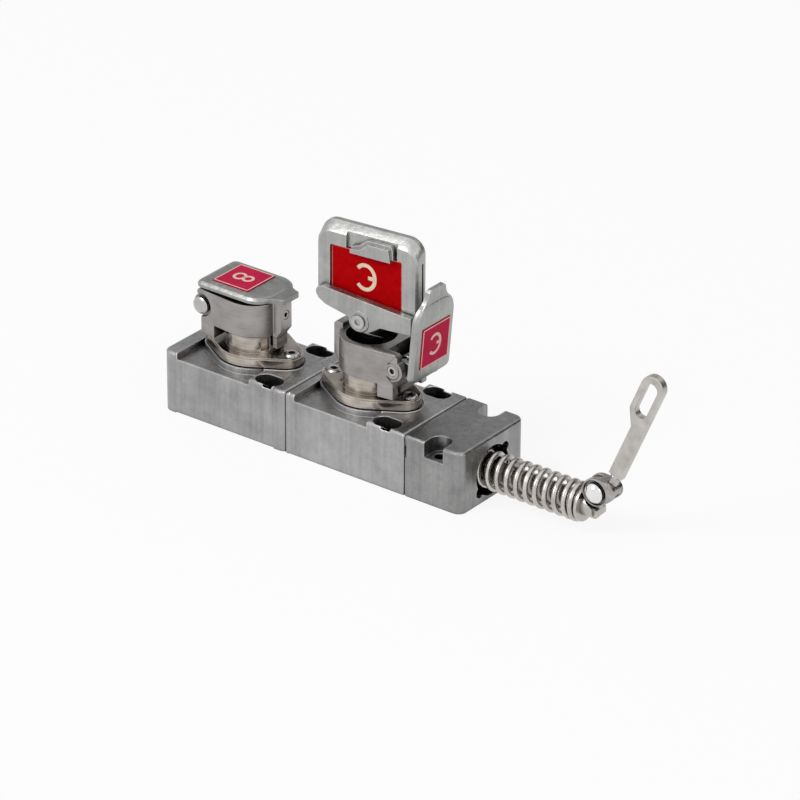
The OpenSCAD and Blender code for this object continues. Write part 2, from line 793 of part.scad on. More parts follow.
// Lower bar across the front of the tag, with a pointed left end and a boss for the pin
module key_bar() {
    boss_r = 4.2;
    color(cast_grey) at_key() difference() {
        translate([0, -tag_t / 2, 0]) rotate([90, 0, 0]) {
            linear_extrude(bar_t) polygon([
                [-17.6, 66.6], [-19.5, 65.9], [-20.3, 64.4], [-20.1, 62.9], [-19.1, 61.4], [-16.1, 59.5],
                [key_pin_x - 3, 56.6], [7.5, 55.6], [19.9, 55.9], [20.3, 56.4], [20.3, 62.7]
            ]);
            translate([key_pin_x, key_pin_z, 0]) cylinder(r = boss_r, h = bar_t + 0.5);
            linear_extrude(bar_t) polygon([
                [key_pin_x, key_pin_z - boss_r], [2, key_pin_z - boss_r], [7.9, 56], [key_pin_x, 58]
            ]);
        }
        key_cross_hole();
    }
}

module key_pin() {
    head = tag_t / 2 + bar_t + 0.5;
    color(bright) at_key() translate([key_pin_x, 0, key_pin_z]) rotate([90, 0, 0]) {
        translate([0, 0, -tag_t / 2 + 0.6]) cylinder(r = key_pin_r, h = head + tag_t / 2 - 0.6);
        difference() {
            translate([0, 0, head]) cylinder(r = 2.7, h = 0.7);
            translate([0, 0, head + 0.1]) cylinder(r = 1.2, h = 1.5);
        }
    }
}

module key_shank() {
    color(dark) at_key() difference() {
        union() {
            translate([0, 0, key_bore_bottom + 1])
                cylinder(r = shank_r, h = key_shoulder - key_bore_bottom - 1);
            translate([0, 0, key_shoulder - 1])
                cylinder(r = key_neck_r, h = key_neck_top - key_shoulder + 1);
            translate([shank_r - 1, -bit_w / 2, bit_low])
                cube([bit_x - shank_r + 1, bit_w, bit_high - bit_low]);
        }
        key_cross_hole();
    }
}

module pull_rod() {
    color(bright) translate([rod_in_x, 0, rod_z]) rotate([0, 90, 0]) {
        cylinder(r1 = rod_r - 1, r2 = rod_r, h = 1);
        translate([0, 0, 1]) cylinder(r = rod_r, h = washer_x - rod_in_x - 1);
    }
}

// Coil spring with closed end turns and evenly spaced middle turns
module rod_spring() {
    steps = 20;
    closed = wire_d + 0.06;
    room = spring_out_x - spring_in_x - wire_d;
    pitch = (room - 2 * closed) / (spring_turns - 2);
    heights = [
        for (i = [0:spring_turns * steps]) let (t = i / steps)
            t < 1 ? closed * t
            : t > spring_turns - 1 ? room - closed * (spring_turns - t)
            : closed + pitch * (t - 1)
    ];
    color(stainless) translate([spring_in_x + wire_d / 2, 0, rod_z]) rotate([0, 90, 0])
        coil(spring_r - wire_d / 2, wire_d, heights, steps, 8);
}

module spring_washer() {
    color(bright) translate([spring_out_x, 0, rod_z]) rotate([0, 90, 0]) difference() {
        cylinder(r = washer_r, h = washer_x - spring_out_x);
        translate([0, 0, -1]) cylinder(r = rod_r, h = 4);
    }
}

// Rod end: a boss that drops into a lobe, and a flat eye for the pivot
module rod_end() {
    color(stainless) difference() {
        union() {
            difference() {
                union() {
                    translate([washer_x, 0, rod_z]) rotate([0, 90, 0]) cylinder(r = 4.2, h = 5);
                    translate([117.4, fork_hw - 0.2, rod_z + 1.8]) rotate([90, 0, 0])
                        cylinder(r = 4.2, h = 2 * fork_hw - 0.4);
                }
                // Room for the knuckle as it tilts
                translate([pivot_x, 10, pivot_z]) rotate([90, 0, 0]) for (tilt = [0:tilt_max / 4:tilt_max])
                    rotate(neck_angle - tilt) link_plate(fork_clear_r, neck_r + 0.4, neck_reach, 20);
            }
            translate([pivot_x, 0, pivot_z]) rotate([90, 0, 0])
                cylinder(r = eye_r, h = 2 * eye_hw, center = true);
            rotate([90, 0, 0]) linear_extrude(2 * eye_hw, center = true) polygon([
                [pivot_x - 4, pivot_z - 2], [pivot_x - 4.6, rod_z + 1],
                [pivot_x - 1, rod_z - 2], [pivot_x + 1.8, rod_z + 1], [pivot_x + 2.4, pivot_z - 2]
            ]);
        }
        translate([pivot_x, 0, pivot_z]) rotate([90, 0, 0]) cylinder(r = 2, h = 20, center = true);
    }
}

module pivot_bolt() {
    under = fork_hw - 0.9;
    dome_r = 4.7;
    color(bright) translate([pivot_x, 0, pivot_z]) rotate([90, 0, 0]) {
        translate([0, 0, -fork_hw - nut_t]) cylinder(r = 2, h = fork_hw + nut_t + under);
        translate([0, 0, under]) cylinder(r = bolt_head_r, h = bolt_reach);
        translate([0, 0, under + bolt_reach]) intersection() {
            translate([0, 0, -sqrt(dome_r * dome_r - bolt_head_r * bolt_head_r)]) sphere(dome_r);
            cylinder(r = bolt_head_r, h = 4);
        }
    }
}

module pivot_nut() {
    color(bright) translate([pivot_x, fork_hw + nut_t, pivot_z]) rotate([90, 0, 0]) difference() {
        cylinder(r = 3.8, h = nut_t - 0.3, $fn = 6);
        cylinder(r = 2, h = 3 * nut_t, center = true);
    }
}

// Knuckle: a fork round the rod end's eye, with a seat for the tongue's stub
module knuckle() {
    color(stainless) difference() {
        translate([pivot_x, 0, pivot_z]) rotate([90, 0, 0]) difference() {
            rotate(neck_angle) translate([0, 0, -fork_hw])
                link_plate(fork_r, neck_r, neck_reach, 2 * fork_hw);
            // The cheeks are joined only in the sector that never meets the rod end
            linear_extrude(2 * fork_gap, center = true) {
                circle(eye_r + 0.4);
                polygon([[0, 0], for (a = [80:57:365]) 30 * [cos(a), sin(a)]]);
            }
            cylinder(r = 2 + fit, h = 20, center = true);
            translate([0, 0, fork_hw - 1.1]) cylinder(r = bolt_spot_r, h = 5);
        }
        at_tongue() {
            translate([-20, -20, -tongue_gap]) cube(40);
            translate([0, 0, -8]) cylinder(r = stub_r + fit, h = 10);
        }
    }
}

// Flat tongue with a slotted eye and a round stub at its foot
module tongue() {
    eye_top = tongue_l - eye_end_r;
    slot_top = eye_top - 0.8;
    eye_low = slot_top - eye_slot_l;
    color(stainless) at_tongue() {
        rotate([90, 0, 0]) linear_extrude(tongue_t, center = true) difference() {
            union() {
                translate([-tongue_hw, 0]) square([2 * tongue_hw, eye_low]);
                for (z = [eye_low, eye_top]) translate([-eye_offset, z]) circle(eye_end_r);
                translate([-eye_offset - eye_end_r, eye_low]) square([2 * eye_end_r, eye_top - eye_low]);
                polygon([
                    [-tongue_hw, eye_low - 8], [0, eye_low - 8], [0, eye_low],
                    [-eye_offset - eye_end_r * cos(35), eye_low - eye_end_r * sin(35)]
                ]);
            }
            for (z = [eye_low, slot_top]) translate([-slot_offset, z]) circle(eye_slot_r);
            translate([-slot_offset - eye_slot_r, eye_low]) square([2 * eye_slot_r, eye_slot_l]);
        }
        translate([0, 0, -stub_l]) cylinder(r = stub_r, h = stub_l);
    }
}

left_module();
right_module();
end_module();
base_plate();
base_screws();
tie_screws();
module_dowels();
rod_bush();
flange_seal("left");  // left_flange_seal
flange("left");  // left_flange
flange_screws("left");  // left_flange_screws
head("left");  // left_head
lug_pin("left");  // left_lug_pin
hinge_pin("left");  // left_hinge_pin
cover_spring("left");  // left_cover_spring
cover("left");  // left_cover
cover_label("left");  // left_cover_label
barrel("left");  // left_barrel
barrel_clip("left");  // left_barrel_clip
lock_slide("left");  // left_lock_slide
flange_seal("right");  // right_flange_seal
flange("right");  // right_flange
flange_screws("right");  // right_flange_screws
head("right");  // right_head
lug_pin("right");  // right_lug_pin
hinge_pin("right");  // right_hinge_pin
cover_spring("right");  // right_cover_spring
cover("right");  // right_cover
cover_label("right");  // right_cover_label
barrel("right");  // right_barrel
barrel_clip("right");  // right_barrel_clip
lock_slide("right");  // right_lock_slide
key_tag();
key_label();
key_label_clip();
key_bar();
key_pin();
key_shank();
pull_rod();
rod_spring();
spring_washer();
rod_end();
pivot_bolt();
pivot_nut();
knuckle();
tongue();
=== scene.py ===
"""Looks of a safety interlock switch: cast housing, two key locks, a key and a sprung pull rod."""

import json
import math

import bmesh
import bpy
from mathutils import Matrix, Vector


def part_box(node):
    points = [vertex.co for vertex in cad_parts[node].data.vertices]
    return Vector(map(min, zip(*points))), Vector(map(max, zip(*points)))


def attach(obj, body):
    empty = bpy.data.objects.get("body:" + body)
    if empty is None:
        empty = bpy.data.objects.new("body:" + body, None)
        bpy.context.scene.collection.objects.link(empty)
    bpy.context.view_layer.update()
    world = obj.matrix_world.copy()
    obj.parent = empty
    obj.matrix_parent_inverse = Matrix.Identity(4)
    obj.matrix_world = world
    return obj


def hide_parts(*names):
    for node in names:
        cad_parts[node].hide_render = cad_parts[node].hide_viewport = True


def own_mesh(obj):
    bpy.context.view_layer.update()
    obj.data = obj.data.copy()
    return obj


MM = 0.001
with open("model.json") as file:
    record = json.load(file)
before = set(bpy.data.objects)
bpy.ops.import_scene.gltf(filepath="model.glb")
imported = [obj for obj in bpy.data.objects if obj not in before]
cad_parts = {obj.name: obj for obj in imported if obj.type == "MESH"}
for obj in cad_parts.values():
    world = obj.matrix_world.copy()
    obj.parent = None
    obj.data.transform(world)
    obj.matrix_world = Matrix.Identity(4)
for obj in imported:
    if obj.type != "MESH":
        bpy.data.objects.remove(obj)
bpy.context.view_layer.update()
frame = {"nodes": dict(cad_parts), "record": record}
nodes = frame["nodes"]

# Camera that took the photograph, in degrees, metres and pixels of an 800 pixel picture
AZIMUTH = 37.29
ELEVATION = 27.26
ROLL = 0.318
DISTANCE = 1.8
PICTURE = 800
PX_PER_MM = 2.695
ORIGIN_PX = (341.744, 441.634)
# Width of its sensor in millimetres, a free choice, because the lens follows from it
SENSOR = 36


def add_camera():
    """Camera at the photograph's angle, with the part's origin at its place in the picture."""
    a, e, r = (math.radians(v) for v in (AZIMUTH, ELEVATION, ROLL))
    back = Vector((math.sin(a) * math.cos(e), -math.cos(a) * math.cos(e), math.sin(e)))
    level = Vector((math.cos(a), math.sin(a), 0))
    upright = back.cross(level)
    right = math.cos(r) * level + math.sin(r) * upright
    up = back.cross(right)
    # The picture's middle, seen from the origin in the picture plane
    offset_x = (PICTURE / 2 - ORIGIN_PX[0]) / PX_PER_MM * MM
    offset_y = (ORIGIN_PX[1] - PICTURE / 2) / PX_PER_MM * MM
    place = offset_x * right + offset_y * up + DISTANCE * back
    data = bpy.data.cameras.new("camera")
    data.sensor_width = SENSOR
    data.lens = PX_PER_MM / MM * DISTANCE / PICTURE * SENSOR
    data.clip_end = 20
    camera = bpy.data.objects.new("camera", data)
    camera.matrix_world = Matrix.Translation(place) @ Matrix((right, up, back)).transposed().to_4x4()
    bpy.context.scene.collection.objects.link(camera)
    bpy.context.scene.camera = camera


# Node helpers
def node(tree, kind, **inputs):
    """A shader node of that kind, with values or links put into its named inputs."""
    made = tree.nodes.new(kind)
    for name, value in inputs.items():
        socket = made.inputs[name.replace("_", " ")]
        if isinstance(value, bpy.types.NodeSocket):
            tree.links.new(value, socket)
        else:
            socket.default_value = value
    return made


def noise(tree, scale, detail, stretch=(1, 1, 1)):
    """Noise in object space, scale in cells per metre, stretched along the axes."""
    where = node(tree, "ShaderNodeTexCoord").outputs["Object"]
    mapped = node(tree, "ShaderNodeMapping", Vector=where, Scale=stretch)
    made = node(tree, "ShaderNodeTexNoise", Vector=mapped.outputs[0], Scale=scale, Detail=detail)
    return made.outputs["Fac"]


def spread(tree, value, low, high, from_low=0.3, from_high=0.7):
    """Maps a value from one range, by default the useful part of a noise, to the range low to high."""
    made = node(tree, "ShaderNodeMapRange", Value=value)
    made.inputs["From Min"].default_value = from_low
    made.inputs["From Max"].default_value = from_high
    made.inputs["To Min"].default_value = low
    made.inputs["To Max"].default_value = high
    return made.outputs[0]


def blend(tree, share, first, second):
    """Mix of two colours, the first of them a link or a triple, by a share from 0 to 1."""
    made = tree.nodes.new("ShaderNodeMix")
    made.data_type = "RGBA"
    colour_a, colour_b = made.inputs[6], made.inputs[7]
    tree.links.new(share, made.inputs["Factor"])
    if isinstance(first, bpy.types.NodeSocket):
        tree.links.new(first, colour_a)
    else:
        colour_a.default_value = (*first, 1)
    colour_b.default_value = (*second, 1)
    return made.outputs[2]


def bump(tree, heights, distance, below=None):
    """Normal of a surface with that relief, on top of another relief where one is given."""
    made = node(tree, "ShaderNodeBump", Height=heights, Distance=distance)
    if below:
        tree.links.new(below, made.inputs["Normal"])
    return made.outputs[0]


def calc(tree, operation, a, b, clamp=False):
    """A math node's result, for two numbers or links, kept between 0 and 1 where it is clamped."""
    made = tree.nodes.new("ShaderNodeMath")
    made.operation = operation
    made.use_clamp = clamp
    for socket, value in zip(made.inputs, (a, b)):
        if isinstance(value, bpy.types.NodeSocket):
            tree.links.new(value, socket)
        else:
            socket.default_value = value
    return made.outputs[0]


def edge_wear_and_highlight_mask(tree, reach):
    """0 on open faces to 1 on edges, by how far a rounded normal leans from the true one."""
    # Cosines of the lean on an edge with wear and a painted highlight, and on an open face
    edge_cosine, plain = 0.78, 0.997
    rounded = tree.nodes.new("ShaderNodeBevel")
    rounded.samples = 6
    rounded.inputs["Radius"].default_value = reach
    lean = tree.nodes.new("ShaderNodeVectorMath")
    lean.operation = "DOT_PRODUCT"
    tree.links.new(rounded.outputs[0], lean.inputs[0])
    tree.links.new(node(tree, "ShaderNodeNewGeometry").outputs["Normal"], lean.inputs[1])
    return spread(tree, lean.outputs["Value"], 1, 0, edge_cosine, plain)


def hollow_shade_mask(tree, reach, closed=0.25, free=0.9):
    """Mask for painted shade: 1 deep in corners and seams to 0 in the open, by the share of sky within reach.
    """
    hollow = tree.nodes.new("ShaderNodeAmbientOcclusion")
    hollow.samples = 8
    hollow.inputs["Distance"].default_value = reach
    return spread(tree, hollow.outputs["AO"], 1, 0, closed, free)


# Materials by the names below, because Blender numbers a name that the loaded part already has
MATERIALS = {}


def new_material(name, roughness, metallic):
    """Makes and lists a material, and gives its node tree and its shader."""
    material = bpy.data.materials.new(name)
    material.use_nodes = True
    MATERIALS[name] = material
    shader = material.node_tree.nodes["Principled BSDF"]
    shader.inputs["Roughness"].default_value = roughness
    shader.inputs["Metallic"].default_value = metallic
    return material.node_tree, shader


def weighted(tree, start, *parts):
    """Sum of noises, each mapped to 0 to 1 and weighted, kept between 0 and 1."""
    total = start
    for value, weight in parts:
        total = calc(tree, "ADD", calc(tree, "MULTIPLY", spread(tree, value, 0, 1), weight), total)
    return calc(tree, "ADD", total, 0.0, True)


# Worn edges with their painted highlight as a multiple of the light tone, and the painted shade in hollows
# and in the depth of a hole as one of the dark tone
EDGE_WEAR_AND_HIGHLIGHT_TONE = 1.6
HOLLOW_SHADE_TONE = 0.22
DEEP_SHADE_TONE = 0.05
# How far out of a hole sky counts, and its shares at which the hole is painted black as shade and at which it
# is plain
DEEP_SHADE = {"reach": 14 * MM, "closed": 0.1, "free": 0.42}


def wear_and_painted_light(tree, base, light, dark, edge_reach, edge_share, shade_reach, shade_share, deep_shade):
    """Colour with edges lighter for wear and painted highlight, painted shade in the hollows and, where it is
    deep, holes painted black as shade.
    """
    # Edges lightened for wear and as a painted highlight
    edges = calc(tree, "MULTIPLY", edge_wear_and_highlight_mask(tree, edge_reach), edge_share)
    bright = blend(tree, edges, base, [min(1, EDGE_WEAR_AND_HIGHLIGHT_TONE * c) for c in light])
    # Painted shade in hollows and seams
    hollow_shade = calc(tree, "MULTIPLY", hollow_shade_mask(tree, shade_reach), shade_share)
    shaded_colour = blend(tree, hollow_shade, bright, [HOLLOW_SHADE_TONE * c for c in dark])
    if not deep_shade:
        return shaded_colour
    # Holes painted black as shade
    return blend(tree, hollow_shade_mask(tree, **DEEP_SHADE), shaded_colour, [DEEP_SHADE_TONE * c for c in dark])


def cast_metal(name, dark, light, roughness, edge_reach=0.5 * MM):
    """Blasted casting: blotches, specks, fine grain, edges lighter for wear and painted highlight, and
    painted shade in the corners.
    """
    grain = 0.04 * MM
    tree, shader = new_material(name, roughness, 1.0)
    blotch = noise(tree, 110, 4)
    patch = noise(tree, 24, 3)
    speck = noise(tree, 1150, 3)
    mottle = noise(tree, 480, 4)
    streak = noise(tree, 1, 3, (520, 520, 22))
    layers = ((blotch, 0.3), (patch, 0.25), (mottle, 0.13), (speck, 0.14), (streak, 0.24))
    base = blend(tree, weighted(tree, -0.04, *layers), dark, light)
    # Edges lightened for wear and painted highlight, painted shade in the corners, and deep holes painted
    # black as shade
    colour = wear_and_painted_light(tree, base, light, dark, edge_reach, 0.75, 1.6 * MM, 0.8, True)
    tree.links.new(colour, shader.inputs["Base Color"])
    tree.links.new(spread(tree, speck, roughness - 0.07, roughness + 0.09), shader.inputs["Roughness"])
    coarse = bump(tree, mottle, 3.5 * grain)
    tree.links.new(bump(tree, speck, grain, coarse), shader.inputs["Normal"])


def turned_metal(name, dark, light, roughness, lines=(60, 60, 2600), depth=0.012 * MM, deep_shade=True):
    """Machined metal: soft stains, fine tool lines across the axis with most cells, edges lighter for wear
    and painted highlight, and painted shade in seams.
    """
    tree, shader = new_material(name, roughness, 1.0)
    stain = noise(tree, 150, 4)
    line = noise(tree, 1, 2, lines)
    tone = weighted(tree, -0.05, (stain, 0.7), (line, 0.4))
    base = blend(tree, tone, dark, light)
    # Edges lightened for wear and painted highlight, painted shade in the seams and, where asked, deep holes
    # painted black as shade
    colour = wear_and_painted_light(tree, base, light, dark, 0.3 * MM, 0.6, 2.5 * MM, 0.6, deep_shade)
    tree.links.new(colour, shader.inputs["Base Color"])
    tree.links.new(spread(tree, line, roughness - 0.06, roughness + 0.08), shader.inputs["Roughness"])
    tree.links.new(bump(tree, line, depth), shader.inputs["Normal"])


def label_plastic(name, dark, light, gloss=0.1):
    """Printed label: slightly uneven colour under a satin film."""
    tree, shader = new_material(name, 0.42, 0.0)
    shader.inputs["Specular IOR Level"].default_value = gloss
    tone = noise(tree, 420, 3)
    tree.links.new(blend(tree, spread(tree, tone, 0, 1), dark, light), shader.inputs["Base Color"])
    tree.links.new(bump(tree, noise(tree, 900, 2), 0.01 * MM), shader.inputs["Normal"])
    tree.links.new(spread(tree, tone, 0.36, 0.5), shader.inputs["Roughness"])


# Tool marks without a direction, and rings round a bar that lies along X
ALL_ROUND = (800, 800, 800)
RINGS_ON_X = (2400, 60, 60)

# Each gets its darkest and its lightest colour, then its roughness or, on a label, its gloss
cast_metal("housing_cast", (0.23, 0.227, 0.228), (0.52, 0.513, 0.512), 0.33, 1.1 * MM)
# Darker copy of the housing casting: painted shade on the end module
cast_metal("shaded_end_cast", (0.14, 0.139, 0.139), (0.4, 0.398, 0.396), 0.33, 1.1 * MM)
turned_metal("base_sheet", (0.3, 0.3, 0.3), (0.42, 0.42, 0.42), 0.35, (900, 30, 30))
turned_metal("head_steel", (0.26, 0.243, 0.237), (0.42, 0.397, 0.388), 0.32, (90, 90, 1500))
turned_metal("turned_steel", (0.3, 0.265, 0.225), (0.62, 0.57, 0.52), 0.2)
cast_metal("cover_cast", (0.27, 0.274, 0.266), (0.56, 0.562, 0.542), 0.41)
# Darker copy of the cover casting: painted shade on the left cover
cast_metal("shaded_cover_cast", (0.19, 0.192, 0.187), (0.45, 0.452, 0.435), 0.41)
# Near black: painted shade on the barrel and on the key's shank in the hollow under the key
turned_metal("barrel_steel", (0.1, 0.1, 0.1), (0.2, 0.2, 0.19), 0.3)
turned_metal("pin_steel", (0.4, 0.39, 0.38), (0.55, 0.54, 0.53), 0.25, ALL_ROUND)
turned_metal("spring_steel", (0.4, 0.37, 0.34), (0.66, 0.63, 0.59), 0.29, ALL_ROUND, deep_shade=False)
turned_metal("rod_steel", (0.4, 0.37, 0.34), (0.6, 0.56, 0.52), 0.26, RINGS_ON_X, deep_shade=False)
turned_metal("chrome_bolt", (0.72, 0.72, 0.72), (0.84, 0.84, 0.84), 0.08, ALL_ROUND, 0.004 * MM)
turned_metal("linkage_steel", (0.42, 0.4, 0.37), (0.62, 0.6, 0.57), 0.34, (500, 500, 300))
turned_metal("knuckle_steel", (0.24, 0.23, 0.22), (0.5, 0.48, 0.46), 0.3, ALL_ROUND)
turned_metal("bush_bronze", (0.3, 0.2, 0.09), (0.46, 0.32, 0.16), 0.3)
cast_metal("seal_rubber", (0.012, 0.012, 0.012), (0.02, 0.02, 0.02), 0.7)
label_plastic("label_red", (0.37, 0.0, 0.001), (0.46, 0.001, 0.003), 0.02)
label_plastic("label_crimson", (0.46, 0.004, 0.045), (0.58, 0.012, 0.075), 0.06)
label_plastic("print_cream", (0.74, 0.58, 0.42), (0.84, 0.68, 0.52))
label_plastic("print_pink", (0.78, 0.5, 0.42), (0.86, 0.6, 0.52))
label_plastic("print_faint", (0.5, 0.1, 0.1), (0.6, 0.18, 0.17))

# Nodes that look different from the rest of their slot. The end module's and the left cover's darker castings
# are painted shade
FINISHES = {
    "end_module": "shaded_end_cast", "left_head": "head_steel", "right_head": "head_steel",
    "left_cover": "shaded_cover_cast", "knuckle": "knuckle_steel",
}
# Edge radius in millimetres by the first of these words in a node's name. Nodes with none get the
# small one, where it fits
SMALL_EDGE = 0.15
EDGES = {
    "label": None, "screws": None, "spring": None, "seal": None, "dowels": None, "module": 0.3,
    "plate": 0.2, "head": 0.3, "flange": 0.15, "cover": 0.15, "tag": 0.1, "key_bar": 0.25,
    "knuckle": 0.25, "rod_end": 0.25, "tongue": 0.3,
}
# How far from flat, in degrees, faces may be to become one polygon before their edges are broken.
# With more than the fine one, a dark diagonal shows on the large flat faces of two nodes
FLATNESS = 0.4
FINE_FLATNESS = {"left_module": 0.01, "right_module": 0.01}
SHARP_ANGLE = math.radians(32)
# Facets of round faces meet at less than this, and the two strips of a broken edge at more
FACET_ANGLE = math.radians(17)
# Corners nearer than this are one corner
WELD = 0.004 * MM


def shape_smoother(limit):
    """Node group that welds a mesh and shades it smooth, apart from edges sharper than a limit."""
    group = bpy.data.node_groups.new("smooth_shape", "GeometryNodeTree")
    for way in ("INPUT", "OUTPUT"):
        group.interface.new_socket("Geometry", in_out=way, socket_type="NodeSocketGeometry")
    steps = [group.nodes.new(kind) for kind in (
        "NodeGroupInput", "GeometryNodeMergeByDistance", "GeometryNodeRemoveAttribute",
        "GeometryNodeSetShadeSmooth", "GeometryNodeSetShadeSmooth", "NodeGroupOutput",
    )]
    for before, after in zip(steps, steps[1:]):
        group.links.new(before.outputs[0], after.inputs[0])
    steps[1].inputs["Distance"].default_value = WELD
    steps[2].inputs["Name"].default_value = "custom_normal"
    steps[4].domain = "EDGE"
    angle = group.nodes.new("GeometryNodeInputMeshEdgeAngle")
    flat = group.nodes.new("FunctionNodeCompare")
    flat.operation = "LESS_THAN"
    flat.inputs[1].default_value = limit
    group.links.new(angle.outputs["Unsigned Angle"], flat.inputs[0])
    group.links.new(flat.outputs[0], steps[4].inputs["Shade Smooth"])
    return group


WELDED = shape_smoother(SHARP_ANGLE)
FINISHED = shape_smoother(FACET_ANGLE)


def soften(thing, radius, full):
    """Smooth shading, and edges broken by a radius in millimetres, in full or only as far as it fits."""
    thing.modifiers.new("weld", "NODES").node_group = WELDED
    # Each flat face becomes one polygon, so that the broken edges don't cross its triangles
    flat = thing.modifiers.new("flats", "DECIMATE")
    flat.decimate_type = "DISSOLVE"
    flat.angle_limit = math.radians(FINE_FLATNESS.get(thing.name, FLATNESS))
    edge = thing.modifiers.new("edges", "BEVEL")
    edge.width = radius * MM
    edge.segments = 2
    edge.angle_limit = SHARP_ANGLE
    edge.use_clamp_overlap = not full
    thing.modifiers.new("shade", "NODES").node_group = FINISHED


def dress_nodes():
    """Gives every CAD node its material, smooth shading and softly broken edges."""
    slots = {entry["node"]: entry["material_slot"] for entry in frame["record"]["subparts"]}
    for name, thing in nodes.items():
        thing.data.materials.clear()
        thing.data.materials.append(MATERIALS[FINISHES.get(name, slots[name])])
        for polygon in thing.data.polygons:
            polygon.material_index = 0
        radius = next((r for kind, r in EDGES.items() if kind in name), None)
        soften(thing, radius or SMALL_EDGE, radius is not None)


# Small pieces
def tube(name, points, radius, sides, closed, flat, place):
    """Mesh tube along points in metres, put in place. flat squashes its section along the local Z."""
    count = len(points)
    verts = []
    for i, here in enumerate(points):
        ahead = points[(i + 1) % count] if closed or i < count - 1 else here
        behind = points[i - 1] if closed or i > 0 else here
        along = (ahead - behind).normalized()
        # No stretch of a tube here runs along its local Z, so the side has a length
        side = along.cross(Vector((0, 0, 1))).normalized()
        rise = side.cross(along)
        for k in range(sides):
            b = 2 * math.pi * k / sides
            verts.append(here + radius * (math.cos(b) * side + flat * math.sin(b) * rise))
    rings = count if closed else count - 1
    faces = []
    for i in range(rings):
        for k in range(sides):
            j, n = (i + 1) % count, (k + 1) % sides
            faces.append((i * sides + k, j * sides + k, j * sides + n, i * sides + n))
    if not closed:
        faces.append(tuple(range(sides)))
        faces.append(tuple((count - 1) * sides + k for k in range(sides - 1, -1, -1)))
    if place.determinant() < 0:
        # A place that mirrors would turn the faces inwards
        faces = [face[::-1] for face in faces]
    mesh = bpy.data.meshes.new(name)
    mesh.from_pydata([place @ v for v in verts], [], faces)
    mesh.update()
    for polygon in mesh.polygons:
        polygon.use_smooth = len(polygon.vertices) == 4
    piece = bpy.data.objects.new(name, mesh)
    bpy.context.scene.collection.objects.link(piece)
    return piece


def finish_piece(piece, body, material):
    """Material, slot and body of a piece."""
    piece.data.materials.append(MATERIALS[material])
    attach(piece, body)


def arc(cx, cy, rx, ry, start, end, steps=18):
    """Points on an ellipse in the XY plane, angles in degrees."""
    angles = [math.radians(start + (end - start) * i / steps) for i in range(steps + 1)]
    return [Vector((cx + rx * math.cos(t), cy + ry * math.sin(t), 0)) for t in angles]


def rounded_loop(width, height, r):
    """Closed loop of a rectangle with round corners, in the XY plane."""
    x, y = width / 2 - r, height / 2 - r
    loop = []
    for cx, cy, start in ((x, y, 0), (-x, y, 90), (-x, -y, 180), (x, -y, 270)):
        loop += arc(cx, cy, r, r, start, start + 90, 5)
    return loop


def plane_at(centre, across, up):
    """Matrix whose X runs across a label, whose Y runs up it and whose Z stands out of it."""
    out = across.cross(up)
    return Matrix.Translation(centre) @ Matrix((across, up, out)).transposed().to_4x4()


# Strokes of the digits, in a cell one unit high and centred on the origin. The three is an open ring
# with a short stroke in its middle
DIGITS = {
    "three": [
        (arc(-0.06, 0, 0.37, 0.44, 140, -140, 30), False),
        ([Vector((0.05, 0, 0)), Vector((0.18, 0, 0)), Vector((0.3, 0, 0))], False),
    ],
    "eight": [
        (arc(0, 0.225, 0.23, 0.215, 0, 360)[:-1], True),
        (arc(0, -0.235, 0.27, 0.245, 0, 360)[:-1], True),
    ],
}


# Thickness of a label plate, and the border on it: how far in, how round, half its width
LABEL_T = 0.8 * MM
BORDER_IN = 0.35 * MM
BORDER_ROUND = 0.5 * MM
BORDER_HALF = 0.25 * MM


def print_label(tag, body, place, width, height, border_ink, digit, ink, cell, stroke, rise=0.0):
    """Border and digit printed on a label, sizes in metres. cell is the digit's height, rise its shift up."""
    loop = rounded_loop(width - 2 * BORDER_IN, height - 2 * BORDER_IN, BORDER_ROUND)
    border = tube(f"{tag}_border", loop, BORDER_HALF, 8, True, 0.2, place)
    finish_piece(border, body, border_ink)
    for i, (points, closed) in enumerate(DIGITS[digit]):
        scaled = [p * cell + Vector((0, rise, 0)) for p in points]
        mark = tube(f"{tag}_digit_{i}", scaled, stroke / 2, 10, closed, 0.1, place)
        finish_piece(mark, body, ink)


def add_prints():
    """Prints each label where its face is."""
    low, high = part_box("left_cover_label")
    middle = (low + high) / 2
    left = plane_at(Vector((middle.x, middle.y, high.z)), Vector((0, -1, 0)), Vector((1, 0, 0)))
    size = high.x - low.x
    print_label("left_label", "cover_left", left, width=size, height=size,
                border_ink="print_pink", digit="eight", ink="print_pink", cell=8.6 * MM, stroke=1.2 * MM)

    # The right cover's label is as large, and leans out a little from upright
    low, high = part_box("right_cover_label")
    lean = math.asin((high.x - low.x - LABEL_T) / size)
    up = Vector((math.sin(lean), 0, math.cos(lean)))
    out = Vector((math.cos(lean), 0, -math.sin(lean)))
    right = plane_at((low + high) / 2 + out * LABEL_T / 2, Vector((0, 1, 0)), up)
    print_label("right_label", "cover_right", right, width=size, height=size,
                border_ink="print_pink", digit="three", ink="print_pink", cell=8.8 * MM, stroke=1.25 * MM)

    # The key stands turned, by the angle that its label's box shows
    low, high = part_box("key_label")
    turn = math.atan2(high.y - low.y - LABEL_T, high.x - low.x)
    across = Vector((math.cos(turn), math.sin(turn), 0))
    width = (high.x - low.x - LABEL_T * math.sin(turn)) / math.cos(turn)
    out = Vector((across.y, -across.x, 0))
    key = plane_at((low + high) / 2 + out * LABEL_T / 2, across, Vector((0, 0, 1)))
    print_label("key_label_print", "key", key, width=width, height=high.z - low.z,
                border_ink="print_faint", digit="three", ink="print_cream", cell=11 * MM, stroke=1.6 * MM,
                rise=2.2 * MM)


